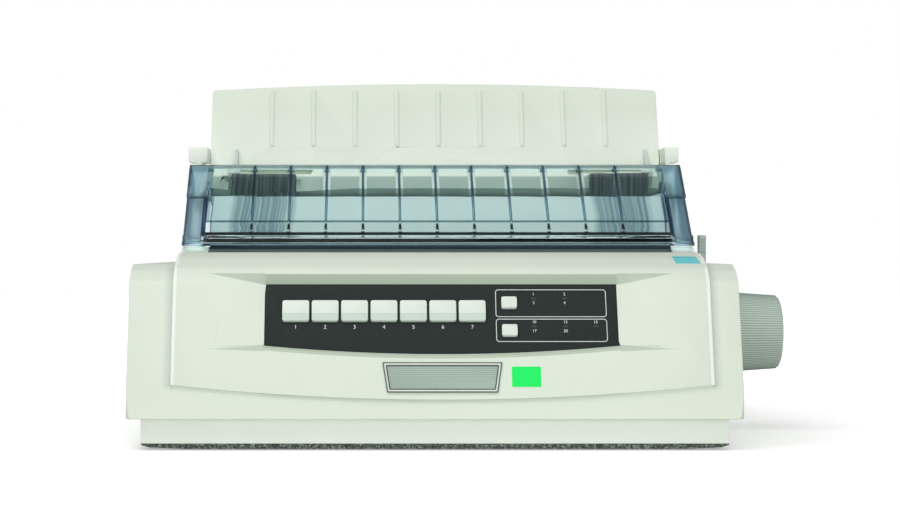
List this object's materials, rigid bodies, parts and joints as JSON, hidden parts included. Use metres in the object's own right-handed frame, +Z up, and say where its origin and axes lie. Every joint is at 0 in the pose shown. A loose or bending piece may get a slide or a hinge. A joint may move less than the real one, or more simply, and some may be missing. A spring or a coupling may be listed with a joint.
{
  "type": "dot matrix printer",
  "caption": "Desktop impact printer with a sloping control panel, smoked hinged hood, rear sheet support, side platen knob, pin-feed tractors and sliding print carriage.",
  "frame": {"origin": "under the middle of the whole outline, knob included, on the table", "axes": "+X to the right seen from the front, towards the knob; +Y to the rear; +Z up"},
  "size_m": [0.398, 0.345, 0.2237],
  "materials": {
    "shell": "fine grain moulded plastic",
    "keycap": "smooth moulded plastic",
    "panel": "dark satin plastic",
    "smoke": "clear smoke-blue moulded plastic",
    "plate": "satin plastic",
    "plinth": "speckled plastic",
    "knob": "fine grain plastic",
    "guide": "smooth light plastic",
    "lens": "tinted lens",
    "dark": "black moulded plastic",
    "steel": "plated sheet and ground rod",
    "bronze": "sintered bearing metal",
    "gear": "natural acetal",
    "rubber": "ground rubber",
    "head": "black finned casting",
    "board": "circuit board",
    "motor": "dark steel can",
    "transformer": "laminated steel"
  },
  "bodies": {
    "chassis": {"base_tray": "shell", "plinth": "plinth", "rubber_feet": "rubber", "main_cover": "shell", "front_bezel": "shell", "control_panel": "panel", "key_board": "board", "indicator_lenses": "lens", "nameplate": "plate", "cover_brackets": "shell", "case_screws": "steel", "power_inlet": "dark", "interface_ports": "steel", "mechanism_frame": "dark", "side_plates": "steel", "platen_bushings": "bronze", "guide_rods": "steel", "paper_guide": "guide", "paper_chute": "dark", "step_motors": "motor", "timing_belt": "rubber", "main_board": "board", "transformer": "transformer"},
    "platen": {"platen_roller": "rubber", "platen_shaft": "steel", "platen_gear": "gear", "platen_knob": "knob"},
    "idler": {"idler_gear": "gear"},
    "pinion": {"motor_pinion": "gear"},
    "feed_shaft": {"feed_rollers": "rubber"},
    "tractor_drive": {"tractor_shaft": "steel", "tractor_gear": "gear"},
    "left_tractor": {"tractor_left": "dark"},
    "left_sprocket": {"tractor_left_sprocket": "gear"},
    "left_door": {"tractor_left_door": "dark"},
    "right_tractor": {"tractor_right": "dark"},
    "right_sprocket": {"tractor_right_sprocket": "gear"},
    "right_door": {"tractor_right_door": "dark"},
    "access_hood": {"hood": "smoke"},
    "sheet_separator": {"separator": "shell"},
    "left_sheet_guide": {"sheet_guide_left": "keycap"},
    "right_sheet_guide": {"sheet_guide_right": "keycap"},
    "carriage": {"carriage_frame": "dark", "print_head": "head", "ribbon_cartridge": "dark"},
    "ribbon_winder": {"ribbon_knob": "knob"},
    "drive_wheel": {"drive_pulley": "gear"},
    "idle_wheel": {"idler_pulley": "gear"},
    "bail": {"paper_bail": "dark", "paper_lever": "knob"},
    "rocker": {"power_switch": "dark"},
    "quality_button": {"quality_key": "keycap"},
    "pitch_button": {"pitch_key": "keycap"},
    "menu_button_1": {"menu_key_1": "keycap"},
    "menu_button_2": {"menu_key_2": "keycap"},
    "menu_button_3": {"menu_key_3": "keycap"},
    "menu_button_4": {"menu_key_4": "keycap"},
    "menu_button_5": {"menu_key_5": "keycap"},
    "menu_button_6": {"menu_key_6": "keycap"},
    "menu_button_7": {"menu_key_7": "keycap"}
  },
  "joints": [
    {"name": "platen_turn", "type": "hinge", "parent": "chassis", "child": "platen", "pos_m": [-0.0235, -0.0225, 0.062], "axis": [1, 0, 0], "continuous": true},
    {"name": "idler_turn", "type": "hinge", "parent": "chassis", "child": "idler", "pos_m": [-0.0235, -0.00451, 0.07863], "axis": [1, 0, 0], "continuous": true},
    {"name": "pinion_turn", "type": "hinge", "parent": "chassis", "child": "pinion", "pos_m": [-0.0235, -0.03876, 0.04574], "axis": [1, 0, 0], "continuous": true},
    {"name": "tractor_shaft_turn", "type": "hinge", "parent": "chassis", "child": "tractor_drive", "pos_m": [-0.0235, -0.0065, 0.094], "axis": [1, 0, 0], "continuous": true},
    {"name": "feed_roller_turn", "type": "hinge", "parent": "chassis", "child": "feed_shaft", "pos_m": [-0.0235, -0.0349, 0.04052], "axis": [1, 0, 0], "continuous": true},
    {"name": "left_tractor_slide", "type": "slide", "parent": "chassis", "child": "left_tractor", "axis": [1, 0, 0], "range_m": [0, 0.06]},
    {"name": "right_tractor_slide", "type": "slide", "parent": "chassis", "child": "right_tractor", "axis": [-1, 0, 0], "range_m": [0, 0.06]},
    {"name": "left_sprocket_turn", "type": "hinge", "parent": "left_tractor", "child": "left_sprocket", "pos_m": [-0.1265, -0.0065, 0.094], "axis": [1, 0, 0], "continuous": true},
    {"name": "right_sprocket_turn", "type": "hinge", "parent": "right_tractor", "child": "right_sprocket", "pos_m": [0.097, -0.0065, 0.094], "axis": [1, 0, 0], "continuous": true},
    {"name": "left_door_open", "type": "hinge", "parent": "left_tractor", "child": "left_door", "pos_m": [-0.1457, 0.0026, 0.114], "axis": [0, 0, 1], "range_deg": [0, 100]},
    {"name": "right_door_open", "type": "hinge", "parent": "right_tractor", "child": "right_door", "pos_m": [0.1162, 0.0026, 0.114], "axis": [0, 0, -1], "range_deg": [0, 100]},
    {"name": "hood_open", "type": "hinge", "parent": "chassis", "child": "access_hood", "pos_m": [-0.0235, -0.0145, 0.152], "axis": [-1, 0, 0], "range_deg": [0, 65]},
    {"name": "separator_tilt", "type": "hinge", "parent": "chassis", "child": "sheet_separator", "pos_m": [-0.0235, 0.0095, 0.146], "axis": [-1, 0, 0], "range_deg": [0, 45]},
    {"name": "left_guide_slide", "type": "slide", "parent": "sheet_separator", "child": "left_sheet_guide", "axis": [1, 0, 0], "range_m": [0, 0.05]},
    {"name": "right_guide_slide", "type": "slide", "parent": "sheet_separator", "child": "right_sheet_guide", "axis": [-1, 0, 0], "range_m": [0, 0.05]},
    {"name": "carriage_travel", "type": "slide", "parent": "chassis", "child": "carriage", "axis": [1, 0, 0], "range_m": [-0.1, 0.1]},
    {"name": "ribbon_knob_turn", "type": "hinge", "parent": "carriage", "child": "ribbon_winder", "pos_m": [0.005, -0.0695, 0.095], "axis": [0, 0, 1], "continuous": true},
    {"name": "drive_pulley_turn", "type": "hinge", "parent": "chassis", "child": "drive_wheel", "pos_m": [-0.1365, -0.0645, 0.022], "axis": [0, 0, 1], "continuous": true},
    {"name": "idler_pulley_turn", "type": "hinge", "parent": "chassis", "child": "idle_wheel", "pos_m": [0.1055, -0.0645, 0.022], "axis": [0, 0, 1], "continuous": true},
    {"name": "paper_lever_pull", "type": "hinge", "parent": "chassis", "child": "bail", "pos_m": [-0.0235, -0.0445, 0.08], "axis": [1, 0, 0], "range_deg": [0, 25]},
    {"name": "menu_key_1_press", "type": "slide", "parent": "chassis", "child": "menu_button_1", "axis": [0, 0.9133, -0.4073], "range_m": [0, 0.0015], "stiffness_N_per_m": 300},
    {"name": "menu_key_2_press", "type": "slide", "parent": "chassis", "child": "menu_button_2", "axis": [0, 0.9133, -0.4073], "range_m": [0, 0.0015], "stiffness_N_per_m": 300},
    {"name": "menu_key_3_press", "type": "slide", "parent": "chassis", "child": "menu_button_3", "axis": [0, 0.9133, -0.4073], "range_m": [0, 0.0015], "stiffness_N_per_m": 300},
    {"name": "menu_key_4_press", "type": "slide", "parent": "chassis", "child": "menu_button_4", "axis": [0, 0.9133, -0.4073], "range_m": [0, 0.0015], "stiffness_N_per_m": 300},
    {"name": "menu_key_5_press", "type": "slide", "parent": "chassis", "child": "menu_button_5", "axis": [0, 0.9133, -0.4073], "range_m": [0, 0.0015], "stiffness_N_per_m": 300},
    {"name": "menu_key_6_press", "type": "slide", "parent": "chassis", "child": "menu_button_6", "axis": [0, 0.9133, -0.4073], "range_m": [0, 0.0015], "stiffness_N_per_m": 300},
    {"name": "menu_key_7_press", "type": "slide", "parent": "chassis", "child": "menu_button_7", "axis": [0, 0.9133, -0.4073], "range_m": [0, 0.0015], "stiffness_N_per_m": 300},
    {"name": "quality_key_press", "type": "slide", "parent": "chassis", "child": "quality_button", "axis": [0, 0.9133, -0.4073], "range_m": [0, 0.0015], "stiffness_N_per_m": 300},
    {"name": "pitch_key_press", "type": "slide", "parent": "chassis", "child": "pitch_button", "axis": [0, 0.9133, -0.4073], "range_m": [0, 0.0015], "stiffness_N_per_m": 300},
    {"name": "power_rocker_tilt", "type": "hinge", "parent": "chassis", "child": "rocker", "pos_m": [0.0735, 0.1665, 0.052], "axis": [1, 0, 0], "range_deg": [0, 20]}
  ],
  "couplings": [
    {"joint": "idler_turn", "follows": "platen_turn", "ratio": -1.8823},
    {"joint": "pinion_turn", "follows": "platen_turn", "ratio": -2.2857},
    {"joint": "tractor_shaft_turn", "follows": "platen_turn", "ratio": 2.2857},
    {"joint": "feed_roller_turn", "follows": "platen_turn", "ratio": -3.4545},
    {"joint": "left_sprocket_turn", "follows": "platen_turn", "ratio": 2.2857},
    {"joint": "right_sprocket_turn", "follows": "platen_turn", "ratio": 2.2857},
    {"joint": "drive_pulley_turn", "follows": "carriage_travel", "rad_per_m": -148.15},
    {"joint": "idler_pulley_turn", "follows": "carriage_travel", "rad_per_m": -148.15}
  ]
}
